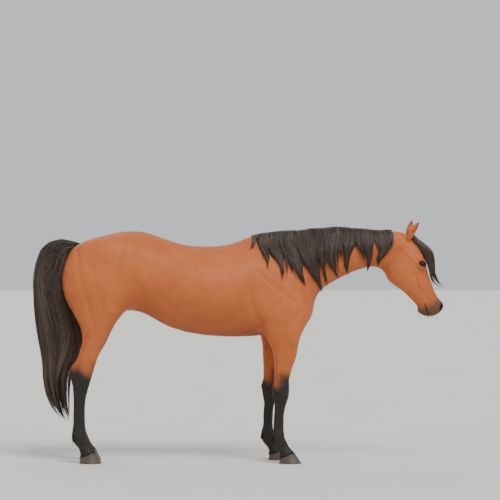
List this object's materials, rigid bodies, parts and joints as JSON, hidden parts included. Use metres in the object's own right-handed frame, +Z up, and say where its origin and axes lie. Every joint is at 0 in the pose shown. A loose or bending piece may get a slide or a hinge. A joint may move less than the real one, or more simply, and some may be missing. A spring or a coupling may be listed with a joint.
{
  "type": "standing horse model",
  "caption": "Life-size still model of a bay riding horse standing square, neck lowered level with its back, with black mane, tail and lower legs.",
  "frame": {"origin": "on the ground at the middle of the bounding box's base, under the belly", "axes": "+X the way the horse faces, +Y its left side, +Z up"},
  "size_m": [2.7822, 0.6012, 1.6292],
  "materials": {
    "bay_coat": "short glossy hair",
    "black_points": "short glossy black hair",
    "black_hair": "long coarse hair",
    "hoof_horn": "ringed horn",
    "dark_eye": "wet"
  },
  "bodies": {
    "root": {"head": "bay_coat", "neck": "bay_coat", "forequarters": "bay_coat", "barrel": "bay_coat", "hindquarters": "bay_coat", "ear_left": "bay_coat", "forearm_left": "bay_coat", "fore_cannon_left": "black_points", "fore_pastern_left": "black_points", "gaskin_left": "bay_coat", "hind_cannon_left": "black_points", "hind_pastern_left": "black_points", "ear_right": "bay_coat", "forearm_right": "bay_coat", "fore_cannon_right": "black_points", "fore_pastern_right": "black_points", "gaskin_right": "bay_coat", "hind_cannon_right": "black_points", "hind_pastern_right": "black_points", "mane": "black_hair", "forelock": "black_hair", "tail": "black_hair", "fore_hoof_left": "hoof_horn", "fore_hoof_right": "hoof_horn", "hind_hoof_left": "hoof_horn", "hind_hoof_right": "hoof_horn", "eye_left": "dark_eye", "eye_right": "dark_eye"}
  },
  "joints": []
}
